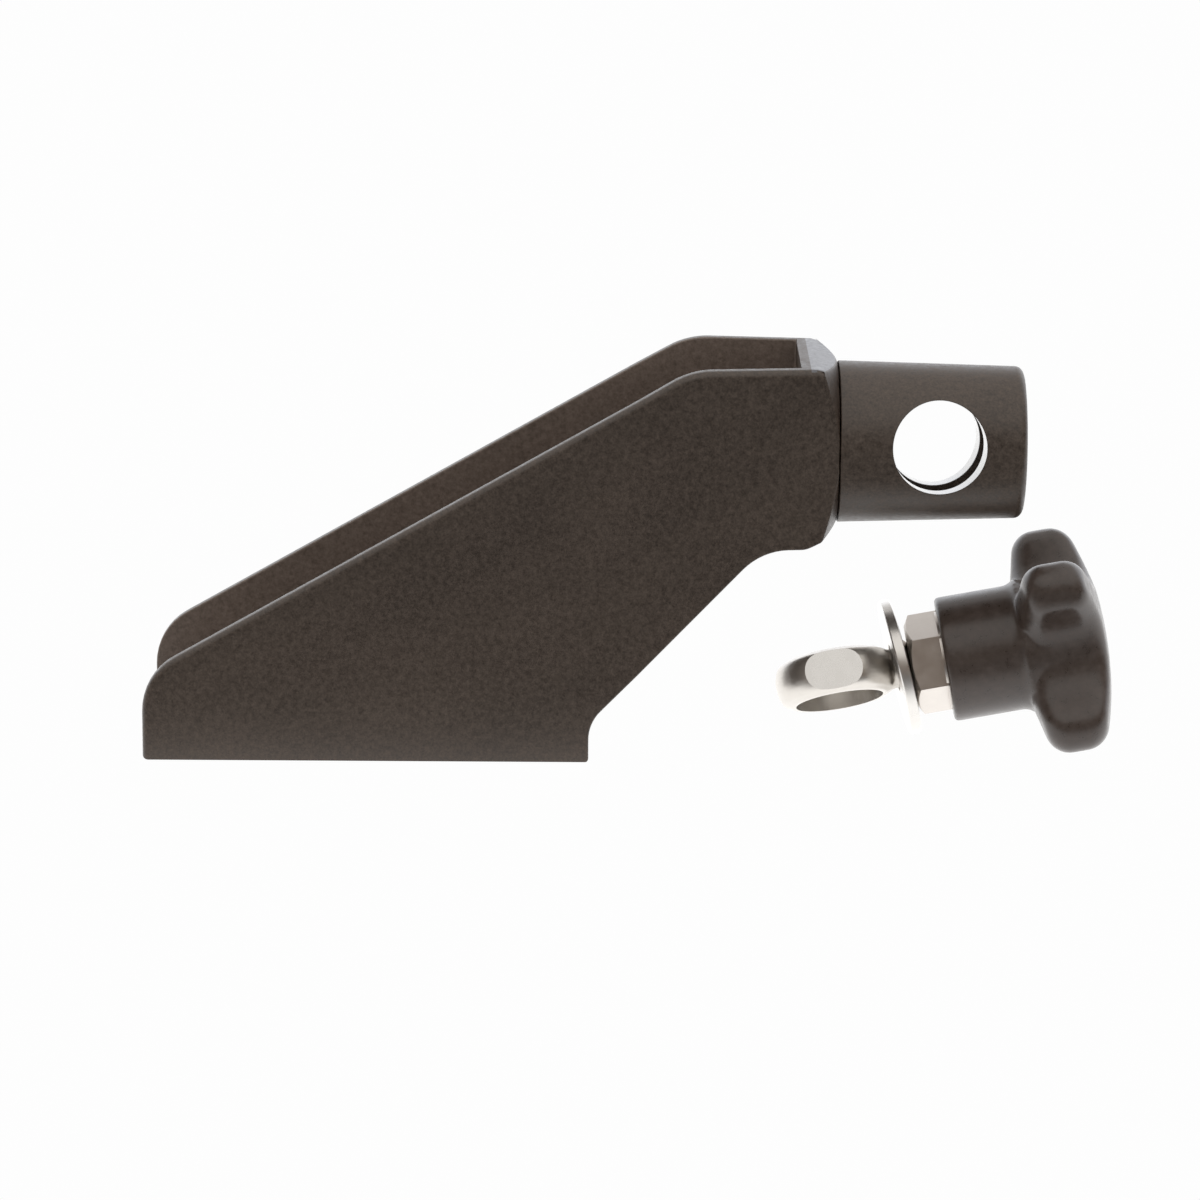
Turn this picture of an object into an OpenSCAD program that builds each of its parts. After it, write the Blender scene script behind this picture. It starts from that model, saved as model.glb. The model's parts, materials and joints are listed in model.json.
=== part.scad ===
// Side bracket for a conveyor guide rail: a moulded channel arm, a swivelling
// clamp head on its end, and the loose eyebolt clamp set lying beside the toe.
// Frame: origin at the centre of the base face, +X from heel to head, +Z up.

/* [Arm] */
// Length of the base, heel to toe
base_len = 80.5; // [76:0.1:85]
// Width across the two side plates at the base
arm_w = 37.6; // [36:0.1:40]
// Width at the head end, at the crease of the end block
head_w = 30.8; // [30.4:0.1:32]
// Distance from the heel where the arm starts to narrow towards the head
narrow_x = 89; // [80:1:95]
// Thickness of each side plate
plate_t = 3; // [2:0.1:4]
// Thickness of the floor of the channel
floor_t = 4; // [3:0.1:6]
// Thickness of the web along the sloping underside
web_t = 3.5; // [3:0.1:5]
// Height of the plates at the heel, to the sharp corner
heel_h = 15.4; // [12:0.1:20]
// Height of the top of the arm
top_h = 71.65; // [70:0.05:74]
// Distance of the top knee from the heel
knee_x = 98.4; // [90:0.1:105]
// Height of the underside below the head
under_h = 38.8; // [37:0.1:40]
// Distance of the underside's upper corner from the heel
under_x = 111.4; // [109:0.1:114]
// Height of the toe, to the sharp corner
toe_h = 7.2; // [5:0.1:10]
// Distance of the end face from the heel
end_x = 125.1; // [124.8:0.1:126]
// Thickness of the end wall that carries the head
end_t = 7; // [5:0.1:9]
// Distance of the crease where the end block starts to taper, from the heel
crease_x = 120.8; // [120:0.1:121.5]
// Taper of each side of the end block
end_taper = 1.0; // [0.5:0.1:1]
// Radius of the end face where the corners are cut back to the head
end_r = 14.5; // [14.4:0.05:15.2]

/* [Base bolts] */
// Distance between the two bolt holes in the floor
bolt_gap = 44; // [30:1:50]
// Radius of each bolt hole
bolt_hole_r = 4.5; // [3:0.1:6]

/* [Clamp head] */
// Length of the head
head_len = 33.6; // [30:0.1:36]
// Radius of the head at the arm
head_r1 = 14.65; // [14:0.05:15]
// Radius of the head at its free end
head_r2 = 13.75; // [13.3:0.05:14.2]
// Radius of the rounded edge at the free end
head_edge = 1.6; // [0.5:0.1:2.5]
// Height of the head's axis
axis_h = 55.5; // [54:0.1:56]
// Gap between the arm's end face and the head
joint_gap = 0.2; // [0.1:0.05:0.4]
// Radius of the cross hole for the guide-rail rod
rod_hole_r = 8.45; // [8:0.05:8.8]
// Distance of the cross hole from the arm's end face
rod_hole_x = 18; // [17:0.1:19]
// Width of the slot that takes the eye
slot_w = 9.4; // [8.8:0.1:11]
// Height of the slot that takes the eye
slot_h = 23; // [22.6:0.1:24]
// Turn of the head about its own axis, as left by the user
head_roll = -7; // [-180:1:180]

/* [Pivot] */
// Radius of the moulded spigot that turns in the end wall
spigot_r = 7; // [6:0.1:8]
// Running clearance round the spigot
spigot_gap = 0.08; // [0.02:0.01:0.1]
// Radius of the pivot bolt
pivot_r = 3; // [2.5:0.1:3.5]
// Radius of the flat pivot washer
pivot_washer_r = 9; // [8.5:0.1:11]
// Thickness of the flat pivot washer
pivot_washer_t = 1.6; // [1:0.1:2.5]

/* [Eyebolt] */
// Radius of the hole in the eye
eye_hole_r = 8.1; // [8:0.05:8.5]
// Outer radius of the eye
eye_r = 11.15; // [11:0.05:11.4]
// Thickness of the eye along its hole
eye_t = 8.3; // [7:0.1:8.7]
// How far the eye's rim bulges past its edges
eye_crown = 1.5; // [0.6:0.1:1.8]
// Distance of the two side flats from the eye's centre
eye_flat = 9.8; // [9.4:0.1:11]
// Radius of the plain neck
neck_r = 3.6; // [3.4:0.05:3.8]
// Radius of the thread
thread_r = 3.95; // [3.85:0.01:3.97]
// Distance of the thread's tip from the eye's centre
bolt_len = 36; // [33:0.5:37]

/* [Washer] */
// Radius of the clamp washer
washer_r = 12.6; // [12:0.05:13.5]
// Radius of the washer's hole
washer_hole_r = 4.4; // [4.2:0.05:4.6]
// Thickness of the washer
washer_t = 2; // [1.6:0.1:2.2]
// Distance of the washer's middle from the eye's centre
washer_x = 12.3; // [12:0.05:12.5]
// Height of the loose washer's middle above the bolt's axis
washer_lift = 0.2; // [0:0.05:0.4]
// Lean of the loose washer against the bolt
washer_lean = 3; // [0:0.5:4]

/* [Knob] */
// Distance of the boss's face from the eye's centre
boss_x = 20.2; // [19:0.1:21]
// Radius of the boss
boss_r = 11.5; // [11:0.05:12]
// Length of the boss up to the lobes
boss_len = 14.2; // [12:0.1:16]
// Overall length of the knob
knob_len = 30; // [28:0.1:32]
// Radius over the tips of the lobes
lobe_r = 23.1; // [21:0.1:24]
// Half the width of a lobe, which is also the radius of its tip
lobe_half = 4.9; // [4.5:0.1:5.4]
// Radius of the hollow between two lobes
valley_r = 10.3; // [9:0.1:11]
// How far the underside of a lobe slopes away from the boss
lobe_under = 4.4; // [1:0.1:5]
// Radius of the rounded rim of the lobes
rim_r = 3.5; // [2.5:0.1:4]
// Radius of the domed front
dome_r = 68; // [50:1:120]
// Width across flats of the hexagon insert
hex_af = 16; // [15:0.5:17]
// Length of the hexagon that shows in front of the boss
hex_len = 6.3; // [5:0.1:6.4]
// Radius of the insert inside the knob
insert_r = 7; // [6:0.1:8]
// Depth of the insert inside the knob
insert_len = 19; // [17:0.5:22]

/* [Lying clamp set] */
// Distance of the eye's centre from the heel of the arm
set_x = 126; // [120:0.1:135]
// Distance of the eye's centre behind the middle plane of the arm
set_y = 2.15; // [0:0.05:12]
// Height of the eye's centre above the table
set_h = 10.25; // [9:0.01:12]
// Angle between the bolt and the table
set_rise = 10.75; // [10:0.05:12]
// Turn of the bolt on the table, its knob end towards the front
set_yaw = -0.25; // [-10:0.05:5]
// Turn of the eye about the bolt
eye_roll = -26; // [-40:1:40]
// Turn of the knob about the bolt, which sets it down on two lobes
knob_roll = 45; // [45:90:315]
// Turn of the hexagon about the bolt
hex_roll = -14; // [-30:1:30]

/* [Hidden] */

$fn = 64;
eps = 0.01;
big = 200;
plastic = "#48413b";
plastic_knob = "#433a37";
steel = "#c9c6c0";
brass = "#b59a5b";

heel_x = -base_len / 2;
slope = (under_h - toe_h) / (under_x - base_len);
web_rise = web_t * sqrt(1 + slope * slope);
inner_end = end_x - end_t;
head_x = end_x + joint_gap;
head_end = head_x + head_len;
slot_bottom = rod_hole_x + end_x - eye_r - 0.6;
insert_out_r = pivot_r + 1.8;
insert_end = head_x + 3.6;
lock_face = inner_end - pivot_washer_t;
lock_t = 1.6;
bolt_seat = lock_face - lock_t;
bolt_head_t = 4;
bolt_head_af = 10;
hex_r = hex_af / sqrt(3);
collar_r = hex_af / 2 + 1;
collar_t = 0.4;
tip_c = lobe_r - lobe_half;
valley_c = lobe_half + valley_r;

// The arc that rounds the corner b between a and c, as a list of points.
function unit(v) = v / norm(v);
function corner(a, b, c, r, n) =
    let (u = unit(a - b), v = unit(c - b), half = acos(u * v) / 2,
         mid = b + unit(u + v) * r / sin(half),
         start = b + u * r / tan(half) - mid, end = b + v * r / tan(half) - mid,
         turn = cross(start, end) > 0 ? 1 : -1, sweep = 180 - 2 * half)
    [for (i = [0 : n]) let (t = turn * sweep * i / n)
        mid + [start.x * cos(t) - start.y * sin(t), start.x * sin(t) + start.y * cos(t)]];

// A closed outline whose corners are [x, y, radius].
function outline(pts, n = 8) =
    let (m = len(pts))
    [for (i = [0 : m - 1]) let (p = pts[i], a = pts[(i + m - 1) % m], c = pts[(i + 1) % m])
        each (p[2] == 0 ? [[p.x, p.y]]
                        : corner([a.x, a.y], [p.x, p.y], [c.x, c.y], p[2], n))];

arm_outline = outline([
    [0, 0, 0.7], [base_len, 0, 0.7], [base_len, toe_h, 11], [under_x, under_h, 11.4],
    [crease_x, under_h, 0], [end_x, under_h + end_taper, 0], [end_x, top_h - end_taper, 0],
    [crease_x, top_h, 0], [knee_x, top_h, 14.7], [0, heel_h, 11.4]]);

// Plan of the arm, or of the channel when inset by the thickness of a plate.
function plan(start, inset, taper) = let (w = arm_w / 2 - inset, h = head_w / 2 - inset)
    [[start, -w], [narrow_x, -w], [crease_x, -h], [end_x, taper - h],
     [end_x, h - taper], [crease_x, h], [narrow_x, w], [start, w]];

function web_x(z) = base_len + (z - toe_h - web_rise) / slope;
channel_outline = outline([
    [-big, floor_t, 0], [web_x(floor_t), floor_t, 6], [web_x(under_h + web_t), under_h + web_t, 9],
    [inner_end, under_h + web_t, 2], [inner_end, big, 0], [-big, big, 0]]);

// Extrudes a side-view outline across the width w, centred on Y = 0.
module side_view(pts, w) {
    translate([heel_x, w / 2, 0])
        rotate([90, 0, 0])
            linear_extrude(w) polygon(pts);
}

// Extrudes a plan-view outline upwards from the base.
module plan_view(pts) {
    translate([heel_x, 0, 0])
        linear_extrude(big) polygon(pts);
}

// A round piece along +X from its profile of [distance, radius] points.
module turned(profile) {
    rotate([90, 0, 90])
        rotate_extrude()
            polygon([for (p = profile) [p.y, p.x]]);
}

// A cylinder along +X from x1 to x2.
module rod(r, x1, x2) {
    translate([x1, 0, 0])
        rotate([0, 90, 0])
            cylinder(r = r, h = x2 - x1);
}

// Moves to the head's axis, x measured from the heel.
module on_axis() {
    translate([heel_x, 0, axis_h])
        children();
}

// Moves to the lying clamp set: X along its bolt, origin at the eye's centre.
module on_set() {
    translate([heel_x + set_x, set_y, set_h])
        rotate([0, -set_rise, set_yaw])
            children();
}

// Cuts the four corners of the end block back to a circle, as on a nut.
module corner_cut() {
    cone_len = 6;
    spread = 2.38;
    turned([[-big, 0], [-big, big], [end_x - cone_len, big], [end_x - cone_len, end_r + cone_len * spread],
            [end_x, end_r], [end_x, 0]]);
}

module bracket_body() {
    color(plastic)
    difference() {
        intersection() {
            side_view(arm_outline, arm_w);
            plan_view(plan(0, 0, end_taper));
            on_axis() corner_cut();
        }
        intersection() {
            side_view(channel_outline, arm_w);
            plan_view(plan(-big, plate_t, end_taper));
        }
        on_axis() rod(spigot_r + spigot_gap, inner_end - 1, end_x + 1);
        for (x = [-1, 1])
            translate([x * bolt_gap / 2, 0, -1])
                cylinder(r = bolt_hole_r, h = floor_t + 2);
    }
}

// The head's outer profile, with its rounded edge at the free end.
head_profile = concat(
    [[head_x, 0], [head_x, head_r1]],
    corner([head_x, head_r1], [head_end, head_r2], [head_end, 0], head_edge, 6),
    [[head_end, 0]]);

module swivel_head() {
    color(plastic)
    on_axis() rotate([head_roll, 0, 0])
    difference() {
        union() {
            turned(head_profile);
            rod(spigot_r, inner_end + eps, head_x + 1);
        }
        translate([end_x + rod_hole_x, big / 2, 0])
            rotate([90, 0, 0])
                cylinder(r = rod_hole_r, h = big);
        translate([slot_bottom, -slot_w / 2, -slot_h / 2])
            cube([big, slot_w, slot_h]);
        rod(insert_out_r, 0, insert_end);
    }
}

module spigot_insert() {
    color(brass)
    on_axis() rotate([head_roll, 0, 0])
    difference() {
        rod(insert_out_r, inner_end + 0.3, insert_end);
        rod(pivot_r + 0.02, 0, insert_end - 0.8);
    }
}

module pivot_washer() {
    color(steel)
    on_axis() difference() {
        rod(pivot_washer_r, lock_face, inner_end - 0.05);
        rod(pivot_r + 0.2, 0, big);
    }
}

// Split spring washer, pressed flat by the tightened bolt.
module pivot_lock_washer() {
    color(steel)
    on_axis() difference() {
        rod(pivot_r * 1.9, bolt_seat, lock_face);
        rod(pivot_r + 0.1, 0, big);
        rotate([-50, 0, 0])
            translate([0, 0, -0.3])
                cube([big, pivot_r * 3, 0.6]);
    }
}

module pivot_bolt() {
    color(steel)
    on_axis() union() {
        rod(pivot_r, bolt_seat - 1, insert_end - 1.2);
        translate([bolt_seat - bolt_head_t, 0, 0])
            rotate([0, 90, 0])
                cylinder(r = bolt_head_af / sqrt(3), h = bolt_head_t, $fn = 6);
    }
}

// Section of the ring of the eye: a rectangle with a crowned outer side.
eye_section = let (flat = eye_t / 2, side = eye_r - eye_crown)
    concat([[eye_hole_r, -flat], [side - 0.6, -flat]],
           [for (i = [-4 : 4]) [side + eye_crown * cos(i * 22.5), (flat - 0.6) * sin(i * 22.5)]],
           [[side - 0.6, flat], [eye_hole_r, flat]]);

module eyebolt() {
    neck_end = boss_x - hex_len + 0.3;
    color(steel)
    on_set() difference() {
        union() {
            rotate([eye_roll, 0, 0])
                rotate_extrude()
                    polygon(eye_section);
            turned([[eye_hole_r + 1.5, 0], [eye_hole_r + 1.5, neck_r + 0.5], [eye_r - 0.4, neck_r],
                    [neck_end, neck_r], [neck_end + 0.35, thread_r], [bolt_len - 0.8, thread_r],
                    [bolt_len, thread_r - 0.8], [bolt_len, 0]]);
        }
        rotate([eye_roll, 0, 0]) {
            cylinder(r = eye_hole_r, h = big, center = true);
            for (side = [-1, 1])
                translate([-big / 2, side * (eye_flat + big / 2) - big / 2, -big / 2])
                    cube(big);
        }
    }
}

module clamp_washer() {
    color(steel)
    on_set() translate([washer_x, 0, washer_lift]) rotate([0, -washer_lean, 0])
    difference() {
        rod(washer_r, -washer_t / 2, washer_t / 2);
        rod(washer_hole_r, -washer_t, washer_t);
    }
}

module knob_insert() {
    hex_x = boss_x - hex_len;
    chamfer = 1.1;
    color(steel)
    on_set() difference() {
        union() {
            intersection() {
                translate([hex_x, 0, 0])
                    rotate([hex_roll, 0, 0])
                        rotate([0, 90, 0])
                            cylinder(r = hex_r, h = hex_len, $fn = 6);
                turned([[hex_x, 0], [hex_x, hex_r - chamfer * 1.73], [hex_x + chamfer, hex_r + eps],
                        [boss_x, hex_r + eps], [boss_x, 0]]);
            }
            rod(collar_r, boss_x - collar_t, boss_x);
            rod(insert_r, boss_x - eps, boss_x + insert_len);
        }
        rod(thread_r + 0.05, 0, boss_x + insert_len - 1);
        turned([[hex_x - eps, 0], [hex_x - eps, thread_r + 0.6], [hex_x + 0.6, thread_r], [hex_x + 0.6, 0]]);
    }
}

// Outline of the four lobes: round tips joined by round hollows.
function spin(p, a) = [p.x * cos(a) - p.y * sin(a), p.x * sin(a) + p.y * cos(a)];
lobe_outline = [for (k = [0 : 3]) each concat(
    [for (i = [-6 : 6]) spin([tip_c + lobe_half * cos(i * 15), lobe_half * sin(i * 15)], k * 90)],
    [for (i = [0 : 8]) spin([valley_c - valley_r * sin(i * 11.25), valley_c - valley_r * cos(i * 11.25)], k * 90)])];

// Side profile that crowns the lobes: sloping underside, round rim and domed front.
function dome_x(r) = knob_len - dome_r + sqrt(dome_r * dome_r - r * r);
lobe_profile = concat(
    [[boss_len - 1, 0], [boss_len - 1, boss_r - 2], [boss_len, boss_r - 1]],
    corner([boss_len, boss_r - 1], [boss_len + lobe_under, lobe_r + eps], [dome_x(lobe_r), lobe_r + eps], rim_r, 6),
    [for (r = [lobe_r - rim_r + 0.4 : -2.2 : 0]) [dome_x(r), r]],
    [[knob_len, 0]]);

module knob() {
    color(plastic_knob)
    on_set() translate([boss_x, 0, 0]) rotate([knob_roll, 0, 0])
    difference() {
        union() {
            intersection() {
                rotate([90, 0, 90])
                    linear_extrude(knob_len + 1) polygon(lobe_outline);
                turned(lobe_profile);
            }
            turned([[0, 0], [0, boss_r - 0.5], [0.5, boss_r], [boss_len + 1.5, boss_r], [boss_len + 1.5, 0]]);
        }
        rod(insert_r + 0.02, -1, insert_len + 0.02);
    }
}

bracket_body();
swivel_head();
spigot_insert();
pivot_bolt();
pivot_lock_washer();
pivot_washer();
eyebolt();
clamp_washer();
knob_insert();
knob();
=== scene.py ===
"""Looks of a conveyor guide-rail side bracket with its loose eyebolt clamp set.

Each piece is built in millimetres in its own local frame, and then placed in the row frame, in metres.
"""

import json
import math

import bmesh
import bpy
from mathutils import Matrix, Vector


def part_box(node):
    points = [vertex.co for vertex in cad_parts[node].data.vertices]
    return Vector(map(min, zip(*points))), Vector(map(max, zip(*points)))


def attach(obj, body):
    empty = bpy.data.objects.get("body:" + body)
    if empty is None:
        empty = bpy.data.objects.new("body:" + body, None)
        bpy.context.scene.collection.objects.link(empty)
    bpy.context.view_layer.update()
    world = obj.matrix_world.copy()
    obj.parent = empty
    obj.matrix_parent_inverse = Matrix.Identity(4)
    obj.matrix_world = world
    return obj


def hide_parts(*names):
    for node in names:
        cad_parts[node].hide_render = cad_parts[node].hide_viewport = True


MM = 0.001

# Arm, measured from the heel (X), the middle plane (Y) and the base (Z).
# The chin is the lower front edge of the end block, and a cone trims the block's front corners.
HEAD_W = 30.8
NARROW_X = 89.0
PLATE_T = 3.0
FLOOR_T = 4.0
WEB_T = 3.5
HEEL_H = 15.4
HEEL_R = 11.4
KNEE_X = 98.4
KNEE_R = 14.7
UNDER_H = 38.8
UNDER_X = 111.4
UNDER_R = 11.4
BASE_LEN = 80.5
TOE_H = 7.2
TOE_R = 7.5
CREASE_X = 120.8
CHIN_BACK = 1.5
CHIN_RISE = 2.6
CHIN_R = 4.0
END_T = 7.0
END_TAPER = 1.0
END_R = 14.5
CORNER_LEN = 6.0
CORNER_SLOPE = 2.38
BOLT_GAP = 44.0
BOLT_HOLE_R = 4.5
RIM_ROUND = 1.3
BASE_ROUND = 0.7
EDGE_ROUND = 0.35
FACE_ROUND = 0.2

# Clamp head, measured along its axis from the arm's end face.
JOINT_GAP = 0.2
HEAD_LEN = 33.6
HEAD_R1 = 14.65
HEAD_R2 = 13.75
HEAD_EDGE = 1.6
ROD_HOLE_R = 8.45
ROD_HOLE_X = 18.0
SLOT_W = 9.4
SLOT_H = 23.0
SLOT_X = 6.25
HEAD_ROLL = math.radians(-7)
SPIGOT_R = 7.0

# Pivot hardware inside the channel.
PIVOT_R = 3.0
PIVOT_WASHER_R = 9.0
PIVOT_WASHER_T = 1.6
LOCK_WASHER_R = 5.7
LOCK_WASHER_T = 1.6
PIVOT_HEAD_T = 4.0
PIVOT_HEAD_AF = 10.0
INSERT_R = 4.8
INSERT_DEPTH = 3.6

# Clamp set, measured along the bolt from the eye's centre.
EYE_R = 11.15
EYE_HOLE_R = 8.1
EYE_T = 8.3
EYE_CROWN = 1.5
EYE_SHOULDER = 0.9
EYE_FLAT = 9.8
EYE_ROLL = math.radians(-26)
NECK_R = 3.6
THREAD_R = 3.95
THREAD_PITCH = 1.25
THREAD_DEPTH = 0.68
THREAD_TIP = 0.8
BOLT_LEN = 36.0
WASHER_R = 12.6
WASHER_HOLE_R = 4.4
WASHER_T = 2.0
WASHER_X = 11.9
WASHER_LIFT = 0.2
WASHER_LEAN = math.radians(3)
WASHER_TURN = math.radians(4)
BOSS_X = 20.2
BOSS_R = 11.5
BOSS_LEN = 14.2
KNOB_LEN = 30.0
KNOB_ROLL = math.radians(45)
LOBE_R = 23.1
LOBE_HALF = 4.9
LOBE_UNDER = 2.3
VALLEY_R = 10.3
RIM_UNDER = 3.5
RIM_DOME = 3.1
DOME_R = 68.0
HEX_AF = 16.0
HEX_LEN = 6.3
HEX_ROLL = math.radians(-14)

# Camera.
CAMERA_AT = (38.1, -932.2, 261.3)
CAMERA_LENS = 157.8
CAMERA_YAW = math.radians(-0.255)
CAMERA_DIP = math.radians(14.197)
CAMERA_ROLL = math.radians(0.41)

# Studio: what the camera sees, what reflections see, and the even fill of matt surfaces.
# An edge is where one brightness passes into the next: a direction's slope in the sky, metres on the table.
PAPER_WHITE = 0.985
ROOM_COLOUR = (0.21, 0.165, 0.135)
SOFT_BOX = (1.2, 1.17, 1.13)
BACK_WALL = (1.7, 1.74, 1.82)
CEILING = (0.85, 0.83, 0.82)
SKY_FILL = 1.2
SKY_EDGE = (0.35, 0.62)
BACK_EDGE = (0.1, 0.6)
TABLE_GLOW = 1.6
TABLE_FRONT = 0.2
TABLE_FILL = 0.7
TABLE_EDGE = (-0.055, -0.012)

# The darkest and the palest tone of each plastic and of the painted light on the arm, and the tone of each
# metal.
ARM_TONES = ((0.026, 0.017, 0.011), (0.068, 0.048, 0.035))
# The channel's tones are painted light: paler than the arm's outside to stand in for glare on the walls
# between the plates, where shade would make them darker.
CHANNEL_PAINTED_GLARE_TONES = ((0.072, 0.052, 0.040), (0.135, 0.100, 0.080))
# The top of the end block gets a pale bluish tone that paints in the bright ceiling's reflection at grazing
# angles: a painted reflection.
PAINTED_SHEEN_TONES = ((0.06, 0.058, 0.062), (0.12, 0.118, 0.13))
KNOB_TONES = ((0.032, 0.022, 0.017), (0.054, 0.039, 0.032))
PLAIN_STEEL = (0.62, 0.60, 0.57)
FORGED_STEEL = (0.60, 0.57, 0.53)
GROUND_STEEL = (0.7, 0.69, 0.67)
WASHER_STEEL = (0.66, 0.64, 0.61)
TURNED_STEEL = (0.62, 0.58, 0.54)
BRASS = (0.72, 0.53, 0.24)

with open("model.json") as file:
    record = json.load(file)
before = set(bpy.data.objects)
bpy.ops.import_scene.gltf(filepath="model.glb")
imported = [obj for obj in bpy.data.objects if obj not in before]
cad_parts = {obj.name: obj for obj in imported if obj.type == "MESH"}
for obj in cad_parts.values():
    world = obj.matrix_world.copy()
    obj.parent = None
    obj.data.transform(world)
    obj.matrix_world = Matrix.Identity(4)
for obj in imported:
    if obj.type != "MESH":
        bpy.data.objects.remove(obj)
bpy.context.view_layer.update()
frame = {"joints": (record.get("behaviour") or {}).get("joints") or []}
joints = {j["name"]: j for j in frame["joints"]}


# ---------------------------------------------------------------- camera and light


def make_camera():
    """The camera stands in front of the side plate and looks down on it a little."""
    data = bpy.data.cameras.new("camera")
    data.lens = CAMERA_LENS
    data.clip_end = 20
    camera = bpy.data.objects.new("camera", data)
    place = Matrix.Translation(Vector(CAMERA_AT) * MM)
    yaw = Matrix.Rotation(CAMERA_YAW, 4, "Z")
    pitch = Matrix.Rotation(math.pi / 2 - CAMERA_DIP, 4, "X")
    roll = Matrix.Rotation(CAMERA_ROLL, 4, "Z")
    camera.matrix_world = place @ yaw @ pitch @ roll
    bpy.context.scene.collection.objects.link(camera)
    bpy.context.scene.camera = camera


def make_world():
    """A soft studio: a bright cool wall behind, a soft box above, and a dim warm room round the camera."""
    world = bpy.data.worlds.new("studio")
    world.use_nodes = True
    tree = world.node_tree
    tree.nodes.clear()
    add = tree.nodes.new
    link = tree.links.new
    coords = add("ShaderNodeTexCoord")
    split = add("ShaderNodeSeparateXYZ")
    link(coords.outputs["Generated"], split.inputs[0])

    def ramp(value, start, end):
        """Rises softly from 0 at start to 1 at end."""
        node = add("ShaderNodeMapRange")
        node.interpolation_type = "SMOOTHSTEP"
        node.inputs["From Min"].default_value = start
        node.inputs["From Max"].default_value = end
        link(value, node.inputs["Value"])
        return node.outputs["Result"]

    def mix(factor, low, high):
        """A colour between low and high, which are colours or sockets."""
        node = add("ShaderNodeMix")
        node.data_type = "RGBA"
        link(factor, node.inputs["Factor"])
        for socket, colour in ((node.inputs[6], low), (node.inputs[7], high)):
            if isinstance(colour, tuple):
                socket.default_value = (*colour, 1)
            else:
                link(colour, socket)
        return node.outputs[2]

    up = ramp(split.outputs["Z"], *SKY_EDGE)
    front = mix(up, ROOM_COLOUR, SOFT_BOX)
    back = mix(up, BACK_WALL, CEILING)
    lit = add("ShaderNodeBackground")
    link(mix(ramp(split.outputs["Y"], *BACK_EDGE), front, back), lit.inputs["Color"])
    fill = add("ShaderNodeBackground")
    fill.inputs["Color"].default_value = (1, 0.99, 0.98, 1)
    fill.inputs["Strength"].default_value = SKY_FILL
    seen = add("ShaderNodeBackground")
    seen.inputs["Strength"].default_value = PAPER_WHITE
    mix_by_ray(tree, lit, fill, seen, add("ShaderNodeOutputWorld"))
    bpy.context.scene.world = world


def mix_by_ray(tree, lit, fill, seen, output):
    """The camera sees plain white, matt surfaces get an even fill, and reflections see the studio."""
    path = tree.nodes.new("ShaderNodeLightPath")
    inner = tree.nodes.new("ShaderNodeMixShader")
    outer = tree.nodes.new("ShaderNodeMixShader")
    tree.links.new(path.outputs["Is Diffuse Ray"], inner.inputs[0])
    tree.links.new(lit.outputs[0], inner.inputs[1])
    tree.links.new(fill.outputs[0], inner.inputs[2])
    tree.links.new(path.outputs["Is Camera Ray"], outer.inputs[0])
    tree.links.new(inner.outputs[0], outer.inputs[1])
    tree.links.new(seen.outputs[0], outer.inputs[2])
    tree.links.new(outer.outputs[0], output.inputs["Surface"])


def make_floor():
    """A light table: a pale floor that glows under and behind the object, and less in front of it."""
    side = 6.0
    mesh = bpy.data.meshes.new("floor")
    corners = [(-side, -side, 0), (side, -side, 0), (side, side, 0), (-side, side, 0)]
    mesh.from_pydata(corners, [], [(0, 1, 2, 3)])
    floor = bpy.data.objects.new("floor", mesh)
    floor.location.z = -0.3 * MM
    bpy.context.scene.collection.objects.link(floor)
    material = bpy.data.materials.new("light_table")
    material.use_nodes = True
    tree = material.node_tree
    tree.nodes.clear()
    place = tree.nodes.new("ShaderNodeNewGeometry")
    split = tree.nodes.new("ShaderNodeSeparateXYZ")
    tree.links.new(place.outputs["Position"], split.inputs[0])
    glow = tree.nodes.new("ShaderNodeMapRange")
    glow.interpolation_type = "SMOOTHSTEP"
    glow.inputs["From Min"].default_value = TABLE_EDGE[0]
    glow.inputs["From Max"].default_value = TABLE_EDGE[1]
    glow.inputs["To Min"].default_value = TABLE_FRONT
    glow.inputs["To Max"].default_value = TABLE_GLOW
    tree.links.new(split.outputs["Y"], glow.inputs["Value"])
    lit = tree.nodes.new("ShaderNodeEmission")
    tree.links.new(glow.outputs["Result"], lit.inputs["Strength"])
    fill = tree.nodes.new("ShaderNodeEmission")
    fill.inputs["Strength"].default_value = TABLE_FILL
    seen = tree.nodes.new("ShaderNodeEmission")
    seen.inputs["Strength"].default_value = PAPER_WHITE
    mix_by_ray(tree, lit, fill, seen, tree.nodes.new("ShaderNodeOutputMaterial"))
    mesh.materials.append(material)


# ---------------------------------------------------------------- materials


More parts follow.
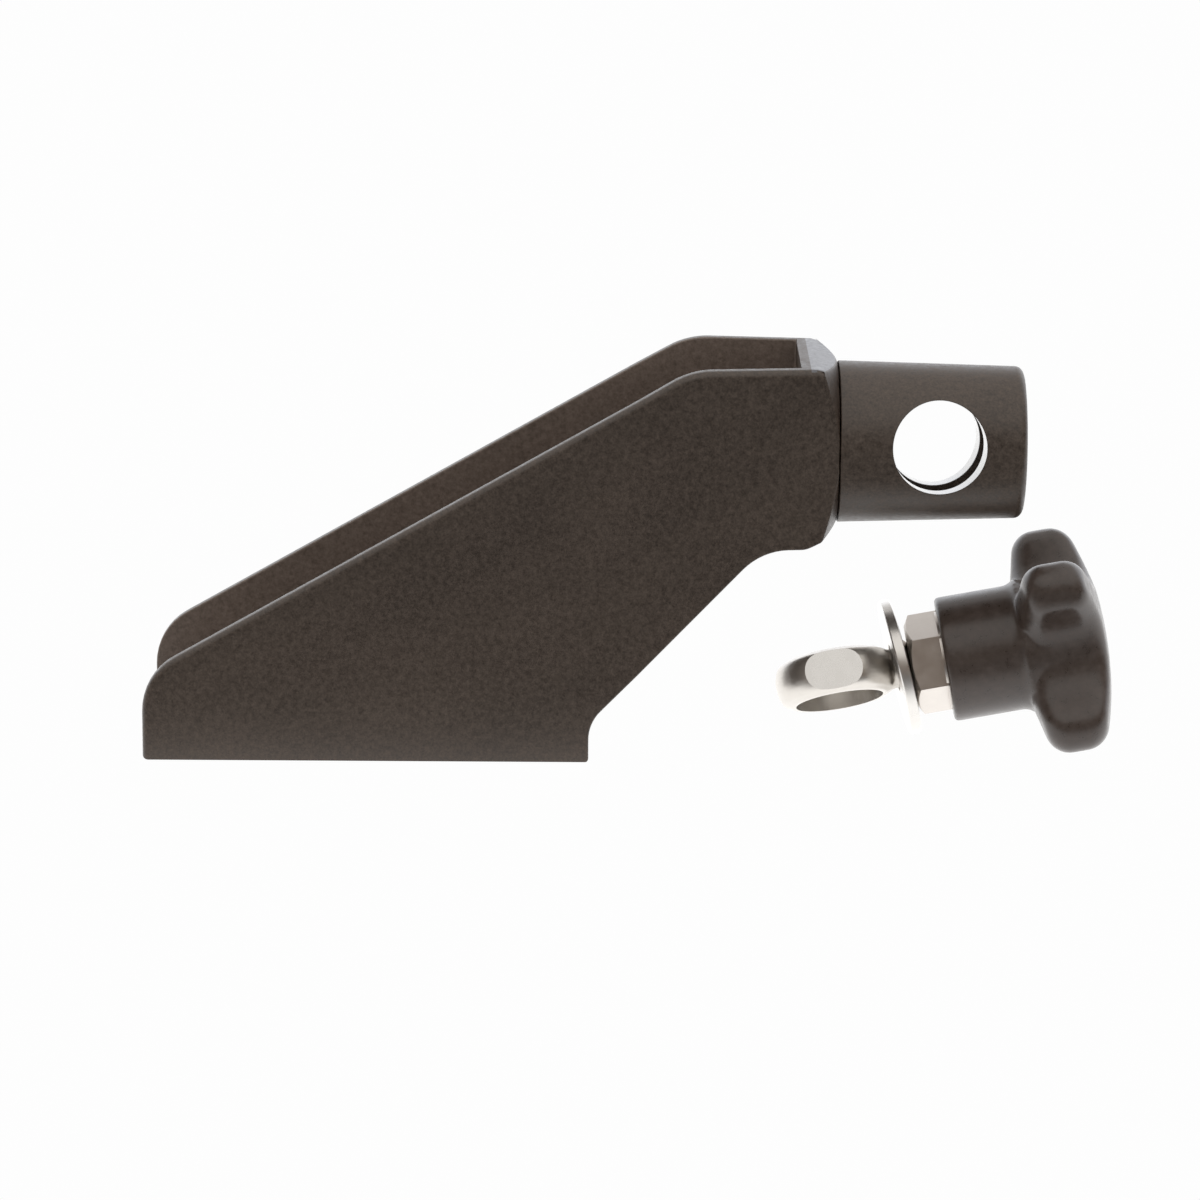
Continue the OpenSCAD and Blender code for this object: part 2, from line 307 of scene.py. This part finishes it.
class Shader:
    """A material with one Principled shader, and short ways to add texture nodes."""

    def __init__(self, name, **sockets):
        self.material = bpy.data.materials.new(name)
        self.material.use_nodes = True
        self.tree = self.material.node_tree
        self.main = self.tree.nodes["Principled BSDF"]
        for socket, value in sockets.items():
            self.main.inputs[socket.replace("_", " ")].default_value = value
        self.coords = self.tree.nodes.new("ShaderNodeTexCoord").outputs["Object"]

    def link(self, a, b):
        self.tree.links.new(a, b)

    def noise(self, size_mm, detail, rough=0.55, stretch=(1, 1, 1), turn=(0, 0, 0)):
        """Noise whose features are about size_mm across, longer where stretch is larger."""
        mapping = self.tree.nodes.new("ShaderNodeMapping")
        mapping.vector_type = "TEXTURE"
        mapping.inputs["Scale"].default_value = stretch
        mapping.inputs["Rotation"].default_value = turn
        self.link(self.coords, mapping.inputs["Vector"])
        node = self.tree.nodes.new("ShaderNodeTexNoise")
        node.inputs["Scale"].default_value = 1 / (size_mm * MM)
        node.inputs["Detail"].default_value = detail
        node.inputs["Roughness"].default_value = rough
        self.link(mapping.outputs[0], node.inputs["Vector"])
        return node.outputs["Fac"]

    def spread(self, value, low, high, start=0.35, end=0.65):
        """Maps the middle of a noise to the range from low to high."""
        node = self.tree.nodes.new("ShaderNodeMapRange")
        node.inputs["From Min"].default_value = start
        node.inputs["From Max"].default_value = end
        node.inputs["To Min"].default_value = low
        node.inputs["To Max"].default_value = high
        self.link(value, node.inputs["Value"])
        return node.outputs["Result"]

    def blend(self, value, low, high, start=0.3, end=0.7):
        """A colour between low and high by a noise."""
        node = self.tree.nodes.new("ShaderNodeMix")
        node.data_type = "RGBA"
        node.inputs[6].default_value = (*low, 1)
        node.inputs[7].default_value = (*high, 1)
        self.link(self.spread(value, 0, 1, start, end), node.inputs["Factor"])
        return node.outputs[2]

    def add(self, a, b, share):
        """a plus share times b."""
        node = self.tree.nodes.new("ShaderNodeMath")
        node.operation = "MULTIPLY_ADD"
        node.inputs[1].default_value = share
        self.link(b, node.inputs[0])
        self.link(a, node.inputs[2])
        return node.outputs[0]

    def bump(self, height, depth_mm, strength):
        """Raises the surface by a noise."""
        node = self.tree.nodes.new("ShaderNodeBump")
        node.inputs["Distance"].default_value = depth_mm * MM
        node.inputs["Strength"].default_value = strength
        self.link(height, node.inputs["Height"])
        self.link(node.outputs[0], self.main.inputs["Normal"])


def arm_plastic(name, tones=ARM_TONES, rough=(0.36, 0.5)):
    """Glass-filled polyamide: a fine grain, a mottle, and faint flow marks along the arm."""
    s = Shader(name)
    mottle = s.noise(1.0, detail=5, rough=0.7)
    grain = s.noise(0.4, detail=2)
    flow = s.noise(14, detail=2, stretch=(2.5, 1, 1), turn=(0, math.radians(-30), 0))
    mixed = s.add(s.add(mottle, grain, 0.6), flow, 0.3)
    s.link(s.blend(mixed, *tones, 0.72, 1.18), s.main.inputs["Base Color"])
    s.link(s.spread(mottle, *rough), s.main.inputs["Roughness"])
    s.bump(s.add(grain, mottle, 0.6), 0.02, 0.4)
    return s.material


def knob_plastic():
    """Smoother polyamide, with a soft sheen and a very fine grain."""
    s = Shader("knob_plastic")
    mottle = s.noise(1.8, detail=5, rough=0.65)
    grain = s.noise(0.35, detail=2)
    s.link(s.blend(mottle, *KNOB_TONES), s.main.inputs["Base Color"])
    s.link(s.spread(mottle, 0.27, 0.36), s.main.inputs["Roughness"])
    s.bump(s.add(grain, mottle, 0.5), 0.008, 0.4)
    return s.material


def steel(name, tone, rough=(0.26, 0.36), grain_mm=0.5, depth_mm=0.003, stretch=(1, 1, 1)):
    """Stainless steel or brass: tumbled where its grain is even, brushed where it is stretched."""
    s = Shader(name, Metallic=1.0)
    stain = s.noise(2.4, detail=4)
    grain = s.noise(grain_mm, detail=2, stretch=stretch)
    dull = tuple(c * 0.92 for c in tone)
    s.link(s.blend(stain, dull, tone), s.main.inputs["Base Color"])
    s.link(s.spread(s.add(stain, grain, 0.4), *rough, 0.5, 0.9), s.main.inputs["Roughness"])
    s.bump(grain, depth_mm, 0.6)
    return s.material


# ---------------------------------------------------------------- mesh helpers, in millimetres


def rounded(corners, steps=8):
    """A closed outline whose corners are (x, y, radius)."""
    points = []
    count = len(corners)
    for i, (x, y, radius) in enumerate(corners):
        here = Vector((x, y))
        if radius == 0:
            points.append(here)
            continue
        before = (Vector(corners[i - 1][:2]) - here).normalized()
        after = (Vector(corners[(i + 1) % count][:2]) - here).normalized()
        half = before.angle(after) / 2
        centre = here + (before + after).normalized() * radius / math.sin(half)
        start = here + before * radius / math.tan(half) - centre
        end = here + after * radius / math.tan(half) - centre
        sweep = (math.pi - 2 * half) * math.copysign(1, start.cross(end))
        for k in range(steps + 1):
            points.append(centre + Matrix.Rotation(sweep * k / steps, 2) @ start)
    return points


def mesh_object(name, verts, faces):
    """A new object whose faces all point outwards."""
    mesh = bpy.data.meshes.new(name)
    mesh.from_pydata([tuple(v) for v in verts], [], faces)
    mesh.validate()
    bm = bmesh.new()
    bm.from_mesh(mesh)
    bmesh.ops.recalc_face_normals(bm, faces=bm.faces)
    bm.to_mesh(mesh)
    bm.free()
    obj = bpy.data.objects.new(name, mesh)
    bpy.context.scene.collection.objects.link(obj)
    return obj


def prism(name, outline, low, high, axis="Y"):
    """An outline in XZ pushed along Y, or one in XY pushed along Z."""
    def lift(p, height):
        return (p.x, height, p.y) if axis == "Y" else (p.x, p.y, height)

    n = len(outline)
    verts = [lift(p, low) for p in outline] + [lift(p, high) for p in outline]
    faces = [list(range(n))[::-1], list(range(n, 2 * n))]
    faces += [(i, (i + 1) % n, n + (i + 1) % n, n + i) for i in range(n)]
    return mesh_object(name, verts, faces)


def lathe(name, profile, segments=96, loop=False):
    """A turned piece about +X from (x, radius) points; a loop closes on itself, as a ring does."""
    verts = []
    rows = []
    for x, radius in profile:
        if radius < 1e-6:
            rows.append([len(verts)] * segments)
            verts.append((x, 0, 0))
            continue
        rows.append(list(range(len(verts), len(verts) + segments)))
        for k in range(segments):
            a = 2 * math.pi * k / segments
            verts.append((x, radius * math.cos(a), radius * math.sin(a)))
    faces = []
    pairs = list(zip(rows, rows[1:])) + ([(rows[-1], rows[0])] if loop else [])
    for low, high in pairs:
        for k in range(segments):
            j = (k + 1) % segments
            faces.append(list(dict.fromkeys((low[k], low[j], high[j], high[k]))))
    return mesh_object(name, verts, [f for f in faces if len(f) > 2])


def rod(name, radius, start, end, segments=96):
    """A plain cylinder about +X."""
    return lathe(name, [(start, 0), (start, radius), (end, radius), (end, 0)], segments)


def box(name, low, high):
    """A block between two opposite corners."""
    corners = [Vector((low[0], low[1])), Vector((high[0], low[1])),
               Vector((high[0], high[1])), Vector((low[0], high[1]))]
    return prism(name, corners, low[2], high[2], axis="Z")


def turn(obj, matrix):
    """Moves the mesh of obj within its own frame."""
    obj.data.transform(matrix)
    return obj


def across(obj):
    """Turns a piece made along X so that it lies along Y."""
    return turn(obj, Matrix.Rotation(math.pi / 2, 4, "Z"))


def upright(obj):
    """Turns a piece made along X so that it stands along Z."""
    return turn(obj, Matrix.Rotation(-math.pi / 2, 4, "Y"))


def bake(obj):
    """Applies the modifiers of obj to its mesh."""
    graph = bpy.context.evaluated_depsgraph_get()
    mesh = bpy.data.meshes.new_from_object(obj.evaluated_get(graph))
    obj.modifiers.clear()
    obj.data = mesh
    return obj


def combine(obj, other, operation="DIFFERENCE"):
    """Cuts, joins or crosses obj with other, and removes other."""
    modifier = obj.modifiers.new("boolean", "BOOLEAN")
    modifier.operation = operation
    modifier.solver = "EXACT"
    modifier.object = other
    bake(obj)
    bpy.data.objects.remove(other)
    return obj


def slit(obj, point, normal):
    """Splits the faces of obj along a plane, so that a hole on that plane never lies inside one face."""
    bm = bmesh.new()
    bm.from_mesh(obj.data)
    geometry = bm.verts[:] + bm.edges[:] + bm.faces[:]
    bmesh.ops.bisect_plane(bm, geom=geometry, plane_co=point, plane_no=normal)
    bm.to_mesh(obj.data)
    bm.free()
    return obj


def soften(obj, width, segments, angle):
    """Rounds the edges of obj that are sharper than angle."""
    modifier = obj.modifiers.new("bevel", "BEVEL")
    modifier.width = width
    modifier.segments = segments
    modifier.limit_method = "ANGLE"
    modifier.angle_limit = math.radians(angle)
    modifier.use_clamp_overlap = False
    modifier.miter_outer = "MITER_ARC"
    return bake(obj)


def distance_to_path(point, path):
    """The distance of a point to the nearest straight piece of a path."""
    nearest = math.inf
    for a, b in zip(path, path[1:]):
        along = max(0, min(1, (point - a).dot(b - a) / (b - a).length_squared))
        nearest = min(nearest, (a + (b - a) * along - point).length)
    return nearest


def soften_by(obj, radius, widest, segments, angle):
    """Rounds each sharp edge of obj by the radius, at most widest, that a function gives for its ends."""
    bm = bmesh.new()
    bm.from_mesh(obj.data)
    weight = bm.edges.layers.float.new("bevel_weight_edge")
    for edge in bm.edges:
        if len(edge.link_faces) == 2 and edge.calc_face_angle() > math.radians(angle):
            edge[weight] = radius(edge.verts[0].co, edge.verts[1].co) / widest
    bm.to_mesh(obj.data)
    bm.free()
    modifier = obj.modifiers.new("bevel", "BEVEL")
    modifier.width = widest
    modifier.segments = segments
    modifier.limit_method = "WEIGHT"
    modifier.use_clamp_overlap = False
    return bake(obj)


def weld(obj):
    """Merges the points of obj that booleans leave almost in one place."""
    modifier = obj.modifiers.new("weld", "WELD")
    modifier.merge_threshold = 0.002
    return bake(obj)


def fuse(obj, voxel, rounds):
    """Remeshes overlapping shells into one skin, and smooths what the voxels leave."""
    remesh = obj.modifiers.new("remesh", "REMESH")
    remesh.mode = "VOXEL"
    remesh.voxel_size = voxel
    smooth = obj.modifiers.new("smooth", "SMOOTH")
    smooth.factor = 0.5
    smooth.iterations = rounds
    return bake(obj)


def join(obj, *others):
    """Puts the shells of the other objects into obj's mesh."""
    bm = bmesh.new()
    for part in (obj, *others):
        bm.from_mesh(part.data)
    bm.to_mesh(obj.data)
    bm.free()
    for part in others:
        bpy.data.objects.remove(part)
    return obj


def finish_piece(obj, local, body, materials, replaced, sharp=30, pick=None):
    """pick gives the index of a face's material by its middle and normal, in the piece's own frame.
    """
    obj.data.materials.clear()
    for material in materials:
        obj.data.materials.append(material)
    for face in obj.data.polygons:
        face.use_smooth = True
        face.material_index = pick(face.center, face.normal) if pick else 0
    obj.data.transform(local @ Matrix.Scale(MM, 4))
    obj.data.set_sharp_from_angle(angle=math.radians(sharp))
    modifier = obj.modifiers.new("normals", "WEIGHTED_NORMAL")
    modifier.keep_sharp = True
    bake(obj)
    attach(obj, body)
    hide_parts(replaced)


# ---------------------------------------------------------------- local frames


arm_low, arm_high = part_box("bracket_body")
END_X = (arm_high.x - arm_low.x) / MM
ARM_W = (arm_high.y - arm_low.y) / MM
TOP_H = arm_high.z / MM
AXIS_H = joints["head_swivel"]["pos_m"][2] / MM
INNER_END = END_X - END_T
FAR = 200.0  # past every side of the arm

arm_frame = Matrix.Translation((arm_low.x, 0, 0))
head_frame = Matrix.Translation(joints["head_swivel"]["pos_m"])
rolled_head_frame = head_frame @ Matrix.Rotation(HEAD_ROLL, 4, "X")


def bolt_frame():
    """X along the bolt, Y level, and the origin at the eye's centre."""
    along = Vector(joints["knob_turn"]["axis"]).normalized()
    level = Vector((0, 0, 1)).cross(along).normalized()
    rotation = Matrix((along, level, along.cross(level))).transposed().to_4x4()
    return Matrix.Translation(joints["knob_turn"]["pos_m"]) @ rotation


set_frame = bolt_frame()


# ---------------------------------------------------------------- arm and head


def side_outline():
    """A side plate: base, toe, underside, chin of the end block, top, and the rim down to the heel."""
    return rounded([
        (0, 0, 0), (BASE_LEN, 0, 0), (BASE_LEN, TOE_H, TOE_R), (UNDER_X, UNDER_H, UNDER_R),
        (CREASE_X - CHIN_BACK, UNDER_H, CHIN_R), (END_X, UNDER_H + CHIN_RISE, 0),
        (END_X, TOP_H - END_TAPER, 0), (CREASE_X, TOP_H, 0), (KNEE_X, TOP_H, KNEE_R),
        (0, HEEL_H, HEEL_R)])


def channel_outline():
    """The space between the plates, above the floor and the sloping web, up to the end wall."""
    slope = (UNDER_H - TOE_H) / (UNDER_X - BASE_LEN)
    rise = WEB_T * math.sqrt(1 + slope * slope)
    shelf = UNDER_H + WEB_T

    def web_x(z):
        return BASE_LEN + (z - TOE_H - rise) / slope

    return rounded([
        (-FAR, FLOOR_T, 0), (web_x(FLOOR_T), FLOOR_T, 6), (web_x(shelf), shelf, 9),
        (INNER_END, shelf, 2), (INNER_END, FAR, 0), (-FAR, FAR, 0)])


def half_width(x):
    """Half the width over the plates, which narrow towards the head."""
    share = min(1, max(0, x - NARROW_X) / (CREASE_X - NARROW_X))
    taper = END_TAPER * max(0, x - CREASE_X) / (END_X - CREASE_X)
    return (ARM_W + (HEAD_W - ARM_W) * share) / 2 - taper


def plan(name, start, inset):
    """A tall block with the arm's outline from above, from start on, drawn in by inset."""
    half = ARM_W / 2 - inset
    narrow = HEAD_W / 2 - inset
    edge = [(start, half), (NARROW_X, half), (CREASE_X, narrow), (END_X + 0.01, narrow - END_TAPER)]
    points = [Vector((x, -y)) for x, y in edge] + [Vector(p) for p in edge[::-1]]
    return prism(name, points, -1, FAR, axis="Z")


def make_arm(outside, inside, painted_sheen):
    """Two plates joined by a floor, a web and an end block, with holes for the bolts and the head."""
    side = side_outline()
    to_axis = Matrix.Translation((0, 0, AXIS_H))
    arm = prism("arm_moulding", side, -ARM_W, ARM_W)
    combine(arm, plan("plan", -1, 0), "INTERSECT")
    corner_x = END_X - CORNER_LEN
    cone = lathe("corner_cut", [
        (-FAR, 0), (-FAR, FAR), (corner_x, FAR), (corner_x, END_R + CORNER_LEN * CORNER_SLOPE),
        (END_X, END_R), (END_X, 0)], 192)
    combine(arm, turn(cone, to_axis), "INTERSECT")
    hollow = prism("channel", channel_outline(), -ARM_W, ARM_W)
    combine(arm, combine(hollow, plan("inner_plan", -FAR, PLATE_T), "INTERSECT"))
    slit(arm, (0, 0, 0), (0, 1, 0))
    slit(arm, (CREASE_X - 1, 0, 0), (1, 0, 0))
    combine(arm, turn(rod("bore", SPIGOT_R + 0.08, INNER_END - 1, END_X + 1), to_axis))
    for sign in (-1, 1):
        hole = upright(rod("hole", BOLT_HOLE_R, -1, FLOOR_T + 1, 64))
        combine(arm, turn(hole, Matrix.Translation((BASE_LEN / 2 + sign * BOLT_GAP / 2, 0, 0))))
    # The rim is the part of the outline above a line from the heel to the end block, down to the base.
    rim = [p for p in side if p.y > 3 + p.x / 2] + [side[0]]

    def edge_radius(a, b):
        """Large rounds on the rims of the plates, small ones elsewhere, and a crisp base."""
        if max(a.z, b.z) < BASE_ROUND + 0.1:
            runs_across = abs(a.x - b.x) < 0.01 and abs(a.y - b.y) > 5
            return BASE_ROUND if runs_across else 0
        if min(a.x, b.x) > END_X - 0.1:
            return FACE_ROUND
        on_rim = all(distance_to_path(Vector((p.x, p.z)), rim) < 0.02 for p in (a, b))
        is_outer = all(abs(p.y) > half_width(p.x) - 0.1 for p in (a, b))
        return RIM_ROUND if on_rim and is_outer else EDGE_ROUND

    def material_index_of(middle, normal):
        """The channel's walls get paler tones, a painted glare of light where shade would fall, and the top
        of the end block gets a painted reflection of the ceiling.
        """
        # Flat tops of the end block get the pale tone of a painted reflection of the ceiling.
        if normal.z > 0.8 and middle.x > CREASE_X - 1 and middle.z > TOP_H - 2:
            return 2
        # Faces of the channel's walls get the paler tones of painted glare.
        is_painted_glare_wall = abs(middle.y) < HEAD_W / 2 + 3 and middle.y * normal.y < -1
        return int(is_painted_glare_wall and middle.x < INNER_END)

    soften_by(weld(arm), edge_radius, RIM_ROUND, 4, 28)
    materials = [outside, inside, painted_sheen]
    finish_piece(arm, arm_frame, "arm", materials, "bracket_body", pick=material_index_of)


def make_head(outside, smooth):
    """A tapered round head on a spigot, with a slot for the eye and a cross hole for the rod."""
    tip = JOINT_GAP + HEAD_LEN
    outer = rounded([
        (JOINT_GAP, 0, 0), (JOINT_GAP, HEAD_R1, 0.25), (tip, HEAD_R2, HEAD_EDGE), (tip, 0, 0)], 6)
    head = lathe("clamp_head", [tuple(p) for p in outer], 128)
    combine(head, rod("spigot", SPIGOT_R, -END_T + 0.05, JOINT_GAP + 1), "UNION")
    combine(head, box("slot", (SLOT_X, -SLOT_W / 2, -SLOT_H / 2), (60, SLOT_W / 2, SLOT_H / 2)))
    slit(head, (ROD_HOLE_X, 0, 0), (1, 0, 0))
    hole = across(rod("rod_hole", ROD_HOLE_R, -40, 40))
    combine(head, turn(hole, Matrix.Translation((ROD_HOLE_X, 0, 0))))
    combine(head, rod("insert_bore", INSERT_R, -20, JOINT_GAP + INSERT_DEPTH))
    soften(weld(head), 0.22, 2, 40)

    def material_index_of(middle, normal):
        """The cross hole is smooth, as its core pin was polished."""
        reach = math.hypot(middle.x - ROD_HOLE_X, middle.z)
        return int(abs(reach - ROD_HOLE_R) < 0.05 and abs(normal.y) < 0.1)

    materials = [outside, smooth]
    finish_piece(head, rolled_head_frame, "head", materials, "swivel_head", 35, material_index_of)


# ---------------------------------------------------------------- pivot hardware


def washer(name, inner, outer, start, thickness, edge=0.25):
    """A flat washer with its edges broken."""
    end = start + thickness
    return lathe(name, [
        (start, inner + edge / 2), (start, outer - edge), (start + edge / 2, outer - edge / 4),
        (start + edge, outer), (end - edge, outer), (end - edge / 2, outer - edge / 4),
        (end, outer - edge), (end, inner + edge / 2), (end - edge / 2, inner), (start + edge / 2, inner)],
        128, loop=True)


def hexagon(name, flats, start, end, chamfer):
    """A hexagon bar along X whose corners are turned off at its start."""
    corner = flats / math.sqrt(3)
    points = [Vector((corner * math.cos(a), corner * math.sin(a)))
              for a in (math.radians(60 * k) for k in range(6))]
    bar = turn(prism(name, points, start, end, axis="Z"), Matrix.Rotation(math.pi / 2, 4, "Y"))
    outer = corner + 0.05
    profile = [(start, 0), (start, corner - chamfer * math.sqrt(3)), (start + chamfer, outer),
               (end, outer), (end, 0)]
    combine(bar, lathe("chamfer", profile, 192), "INTERSECT")
    return soften(weld(bar), 0.08, 2, 20)


def thread(name, radius, start, end):
    """A rolled thread along X: its ridge winds round once for each pitch."""
    around = 48
    per_pitch = 8
    rows = int((end - start) / THREAD_PITCH * per_pitch)
    verts = []
    for i in range(rows + 1):
        x = start + (end - start) * i / rows
        fade = min(1, (x - start) / THREAD_PITCH, (end - x) / THREAD_PITCH + 0.35)
        nose = max(0, x - (end - THREAD_TIP))
        for k in range(around):
            phase = (x / THREAD_PITCH - k / around) % 1
            ridge = min(1, 1.25 * (1 - abs(2 * phase - 1)))
            r = radius - nose - THREAD_DEPTH * (1 - ridge) * max(0, fade)
            a = 2 * math.pi * k / around
            verts.append((x, r * math.cos(a), r * math.sin(a)))
    faces = [list(range(around))[::-1], list(range(rows * around, (rows + 1) * around))]
    for i in range(rows):
        for k in range(around):
            j = (k + 1) % around
            a = i * around
            faces.append((a + k, a + j, a + around + j, a + around + k))
    return mesh_object(name, verts, faces)


def make_pivot(metal, brass):
    """A hexagon bolt with two washers, screwed from the channel into a threaded sleeve in the head."""
    flat_start = -END_T - PIVOT_WASHER_T
    flat = washer("pivot_plain_washer", PIVOT_R + 0.2, PIVOT_WASHER_R, flat_start, PIVOT_WASHER_T - 0.05)
    finish_piece(flat, head_frame, "head", [metal], "pivot_washer")
    seat = flat_start - LOCK_WASHER_T
    ring = washer("pivot_spring_washer", PIVOT_R + 0.1, LOCK_WASHER_R, seat, LOCK_WASHER_T, 0.15)
    gap = box("gap", (seat - 1, 0, -0.3), (seat + 3, 9, 0.3))
    combine(ring, turn(gap, Matrix.Rotation(math.radians(-50), 4, "X")))
    finish_piece(ring, head_frame, "head", [metal], "pivot_lock_washer")
    bolt = hexagon("pivot_hex_bolt", PIVOT_HEAD_AF, seat - PIVOT_HEAD_T, seat, 0.6)
    join(bolt, rod("shank", PIVOT_R, seat - 0.5, JOINT_GAP + 2.4, 64))
    finish_piece(bolt, head_frame, "head", [metal], "pivot_bolt")
    low = -END_T + 0.3
    high = JOINT_GAP + INSERT_DEPTH
    inner = PIVOT_R + 0.02
    sleeve = lathe("spigot_bush", [
        (low, inner), (low, INSERT_R), (high, INSERT_R), (high, inner)], 64, loop=True)
    finish_piece(sleeve, rolled_head_frame, "head", [brass], "spigot_insert")


# ---------------------------------------------------------------- clamp set


def make_eyebolt(forged, ground):
    """A forged eye whose neck grows out of it, with ground flats and a bored hole."""
    flat = EYE_T / 2
    side = EYE_R - EYE_CROWN
    inner = EYE_HOLE_R - 1
    section = [(-flat, inner), (-flat, side - EYE_SHOULDER)]
    for k in range(-6, 7):
        a = math.radians(k * 15)
        section.append(((flat - 0.5) * math.sin(a), side + EYE_CROWN * math.cos(a)))
    section += [(flat, side - EYE_SHOULDER), (flat, inner)]
    roll = Matrix.Rotation(EYE_ROLL, 4, "X")
    eye = turn(upright(lathe("forged_eyebolt", section, 160, loop=True)), roll)
    neck_end = BOSS_X - HEX_LEN + 0.3
    neck = lathe("neck", [
        (8, 0), (8, NECK_R + 0.5), (9.2, NECK_R + 0.35), (10.2, NECK_R + 0.1), (11, NECK_R),
        (neck_end, NECK_R), (neck_end, 0)])
    join(eye, neck)
    fuse(eye, 0.22, 5)
    combine(eye, turn(upright(rod("bore", EYE_HOLE_R, -20, 20, 160)), roll))
    for near, far in ((-40, -EYE_FLAT), (EYE_FLAT, 40)):
        combine(eye, turn(box("flat", (-20, near, -20), (20, far, 20)), roll))
    join(eye, thread("thread", THREAD_R, neck_end - 0.1, BOLT_LEN))
    facing = roll @ Vector((0, 1, 0))

    def material_index_of(middle, normal):
        """The two flats on the eye's sides are ground."""
        return int(abs(abs(middle.dot(facing)) - EYE_FLAT) < 0.02 and abs(normal.dot(facing)) > 0.99)

    finish_piece(eye, set_frame, "bolt", [forged, ground], "eyebolt", 25, material_index_of)


def make_washer(metal):
    """The loose washer leans on the bolt."""
    ring = washer("stamped_washer", WASHER_HOLE_R, WASHER_R, -WASHER_T / 2, WASHER_T, 0.3)
    place = Matrix.Translation(Vector((WASHER_X, 0, WASHER_LIFT)) * MM)
    lean = Matrix.Rotation(WASHER_TURN, 4, "Z") @ Matrix.Rotation(-WASHER_LEAN, 4, "Y")
    local = set_frame @ place @ lean
    finish_piece(ring, local, "washer", [metal], "clamp_washer")


def make_hexagon(metal):
    """The knob's threaded insert: a hexagon that stands out of the boss, and a core inside it."""
    start = BOSS_X - HEX_LEN
    bar = hexagon("knob_hexagon", HEX_AF, start, BOSS_X, 1.1)
    turn(bar, Matrix.Rotation(HEX_ROLL, 4, "X"))
    bore_r = THREAD_R + 0.05
    bore_end = BOSS_X + 18
    mouth = lathe("mouth", [
        (start - 1, 0), (start - 1, THREAD_R + 1.4), (start + 0.4, bore_r),
        (bore_end, bore_r), (bore_end, 0)])
    combine(bar, rod("collar", HEX_AF / 2 + 1, BOSS_X - 0.4, BOSS_X + 0.2, 128), "UNION")
    combine(bar, rod("core", 7, BOSS_X, BOSS_X + 19), "UNION")
    slit(bar, (0, 0, 0), (0, 1, 0))
    combine(bar, mouth)
    finish_piece(bar, set_frame, "knob", [metal], "knob_insert", 25)


def lobe_outline(inset):
    """The outline of the four lobes, moved inwards by inset."""
    tip = LOBE_R - LOBE_HALF
    corner = LOBE_HALF + VALLEY_R
    half = LOBE_HALF - inset
    valley = VALLEY_R + inset
    quarter = []
    for k in range(-8, 9):
        a = math.radians(90 * k / 8)
        quarter.append(Vector((tip + half * math.cos(a), half * math.sin(a))))
    for k in range(13):
        a = math.radians(90 * k / 12)
        quarter.append(Vector((corner - valley * math.sin(a), corner - valley * math.cos(a))))
    return [Matrix.Rotation(q * math.pi / 2, 2) @ p for q in range(4) for p in quarter]


def dome_x(radius):
    """Where the knob's front stands, at a distance from its axis."""
    return KNOB_LEN - DOME_R + math.sqrt(DOME_R ** 2 - radius ** 2)


def under_x(radius):
    """Where the underside of the lobes stands, at a distance from the axis."""
    return BOSS_LEN + LOBE_UNDER * max(0, radius - BOSS_R) / (LOBE_R - BOSS_R)


def make_knob(material):
    """Four rounded lobes under a shallow dome, blended into a long boss."""
    arc = 8
    rings = []
    for face, sign, edge in ((under_x, 1, RIM_UNDER), (dome_x, -1, RIM_DOME)):
        side = []
        for scale in (0.15, 0.3, 0.45, 0.6, 0.75, 0.88):
            ring = [p * scale for p in lobe_outline(edge)]
            side.append([(face(p.length), p) for p in ring])
        for k in range(arc + 1):
            a = math.radians(90 * (1 - k / arc))
            ring = lobe_outline(edge * (1 - math.cos(a)))
            side.append([(face(p.length) + sign * edge * (1 - math.sin(a)), p) for p in ring])
        rings += side if sign > 0 else side[::-1]
    count = len(rings[0])
    verts = [(x, p.x, p.y) for ring in rings for x, p in ring]
    faces = [list(range(count))[::-1], list(range(len(verts) - count, len(verts)))]
    for r in range(len(rings) - 1):
        for k in range(count):
            j = (k + 1) % count
            faces.append((r * count + k, r * count + j, (r + 1) * count + j, (r + 1) * count + k))
    knob = mesh_object("lobed_knob", verts, faces)
    boss = lathe("boss", [
        (0, 0), (0, BOSS_R - 0.5), (0.15, BOSS_R - 0.15), (0.5, BOSS_R), (BOSS_LEN - 1.2, BOSS_R),
        (BOSS_LEN - 0.3, BOSS_R + 0.25), (BOSS_LEN + 0.6, BOSS_R + 0.9), (BOSS_LEN + 3, BOSS_R + 0.2),
        (KNOB_LEN - 5, BOSS_R - 1), (KNOB_LEN - 5, 0)], 160)
    join(knob, boss)
    turn(knob, Matrix.Rotation(KNOB_ROLL, 4, "X"))
    fuse(knob, 0.36, 7)
    local = set_frame @ Matrix.Translation((BOSS_X * MM, 0, 0))
    finish_piece(knob, local, "knob", [material], "knob", 180)


# ---------------------------------------------------------------- the scene


make_camera()
make_world()
make_floor()
bpy.context.scene.view_settings.view_transform = "Standard"

outside = arm_plastic("arm_plastic")
# The channel's walls get paler tones of painted glare.
inside = arm_plastic("channel_painted_glare_plastic", CHANNEL_PAINTED_GLARE_TONES)
# The end block's top gets a pale tone of painted reflection.
painted_sheen = arm_plastic("painted_sheen_plastic", PAINTED_SHEEN_TONES, (0.28, 0.42))
smooth = arm_plastic("bore_plastic", rough=(0.14, 0.2))
forged = steel("forged_steel", FORGED_STEEL, (0.3, 0.4))
ground = steel("ground_steel", GROUND_STEEL, (0.22, 0.32), 0.12, 0.006, (1, 1, 30))
make_arm(outside, inside, painted_sheen)
make_head(outside, smooth)
make_pivot(steel("plain_steel", PLAIN_STEEL), steel("turned_brass", BRASS))
make_eyebolt(forged, ground)
make_washer(steel("washer_steel", WASHER_STEEL))
make_hexagon(steel("turned_steel", TURNED_STEEL, (0.28, 0.38), 0.25))
make_knob(knob_plastic())
